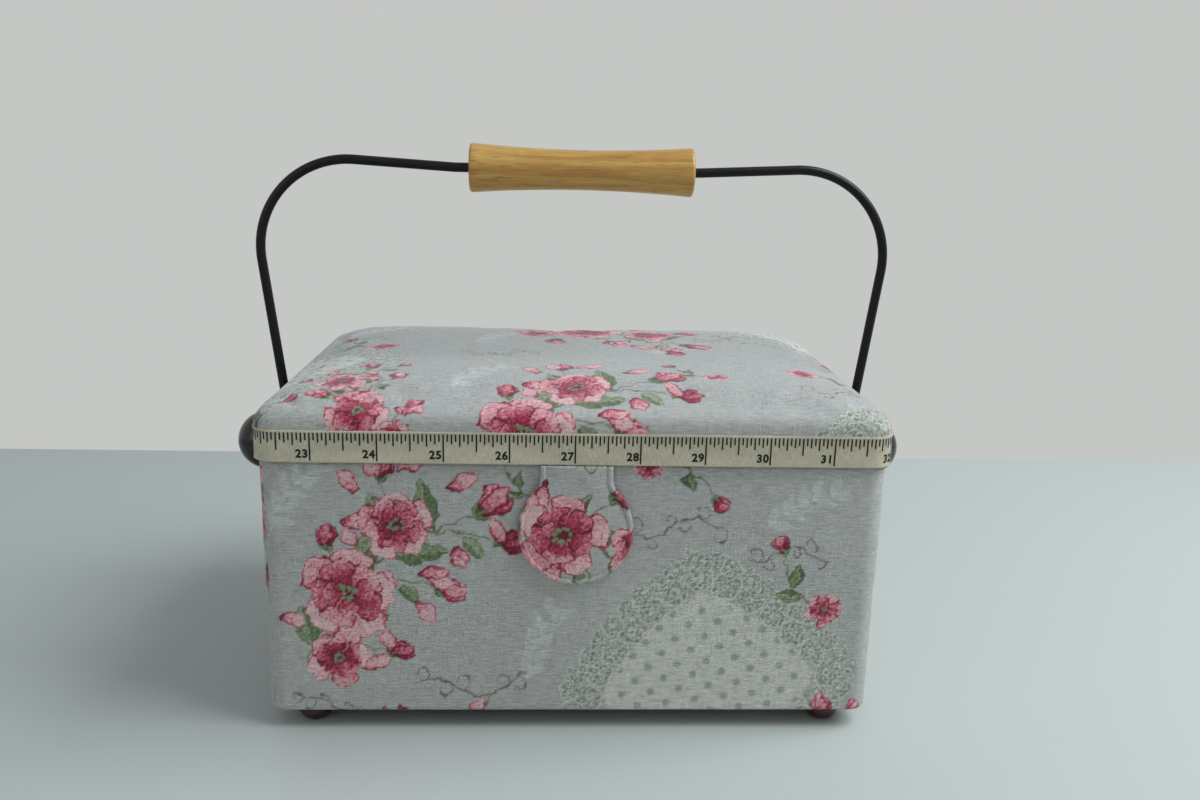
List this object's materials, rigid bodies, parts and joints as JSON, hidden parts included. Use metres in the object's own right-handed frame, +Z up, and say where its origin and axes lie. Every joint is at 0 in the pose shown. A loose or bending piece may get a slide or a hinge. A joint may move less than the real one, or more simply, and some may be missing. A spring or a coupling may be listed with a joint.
{
  "type": "sewing box",
  "caption": "Cloth covered sewing box with a padded hinged lid, a tape ribbon round it, a magnetic tab, a lift-out tray and a wire handle with a wooden grip.",
  "frame": {"origin": "centre of the box in plan, at the flat undersides of the feet", "axes": "+X to the right seen from the front, -Y towards the front with the tab, +Z up"},
  "size_m": [0.3094, 0.1808, 0.2353],
  "materials": {
    "fibreboard": "raw pressed board",
    "printed_cloth": "woven linen and cotton print, matt",
    "base_paper": "black non-woven cloth",
    "satin_lining": "satin sheen",
    "wadding": "soft fibre wadding",
    "pincushion_cloth": "satin, padded",
    "ribbon": "woven tape, printed scale",
    "foot_plastic": "glossy dark moulding",
    "knob_plastic": "glossy black moulding",
    "wire_enamel": "black enamel, satin gloss",
    "grip_wood": "turned wood, clear lacquer",
    "zinc": "zinc plated",
    "hinge_metal": "nickel plated",
    "magnet_metal": "nickel plated",
    "tray_plastic": "satin ivory moulding"
  },
  "bodies": {
    "box": {"base_board": "fibreboard", "front_panel": "fibreboard", "back_panel": "fibreboard", "left_panel": "fibreboard", "right_panel": "fibreboard", "outer_fabric": "printed_cloth", "base_cloth": "base_paper", "wall_lining": "satin_lining", "floor_card": "satin_lining", "feet": "foot_plastic", "foot_screws": "zinc", "tray_ledges": "satin_lining", "keeper_disc": "zinc", "pivot_spacers": "knob_plastic", "pivot_bushes": "zinc", "pivot_knobs": "knob_plastic", "pivot_screws": "zinc", "pivot_washers": "zinc", "hinge_body_leaves": "hinge_metal", "hinge_pins": "hinge_metal", "hinge_body_screws": "zinc"},
    "lid": {"lid_board": "fibreboard", "lid_rim_strips": "fibreboard", "lid_wadding": "wadding", "lid_cover": "printed_cloth", "lid_edge_cloth": "printed_cloth", "tape_ribbon": "ribbon", "lid_lining": "satin_lining", "pincushion": "pincushion_cloth", "hinge_lid_leaves": "hinge_metal", "hinge_lid_screws": "zinc"},
    "tab": {"tab_stiffener": "fibreboard", "tab_cloth": "printed_cloth", "tab_piping": "printed_cloth", "tab_magnet": "magnet_metal"},
    "handle": {"handle_wire": "wire_enamel"},
    "grip": {"handle_grip": "grip_wood"},
    "tray": {"tray": "tray_plastic"}
  },
  "joints": [
    {"name": "lid_hinge", "type": "hinge", "parent": "box", "child": "lid", "pos_m": [0, 0.08965, 0.11455], "axis": [-1, 0, 0], "range_deg": [0, 100]},
    {"name": "handle_swing", "type": "hinge", "parent": "box", "child": "handle", "pos_m": [0, 0, 0.099], "axis": [-1, 0, 0], "range_deg": [0, 115]},
    {"name": "grip_turn", "type": "hinge", "parent": "handle", "child": "grip", "pos_m": [0.002, 0, 0.2246], "axis": [1, 0, 0], "continuous": true},
    {"name": "tab_flap", "type": "hinge", "parent": "lid", "child": "tab", "pos_m": [0, -0.0876, 0.11455], "axis": [-1, 0, 0], "range_deg": [0, 80]},
    {"name": "tray_lift", "type": "slide", "parent": "box", "child": "tray", "axis": [0, 0, 1], "range_m": [0, 0.045]}
  ],
  "couplings": [
    {"joint": "handle_swing", "follows": "lid_hinge", "ratio": 1.15},
    {"joint": "tray_lift", "follows": "lid_hinge", "m_per_rad": 0.0257}
  ]
}
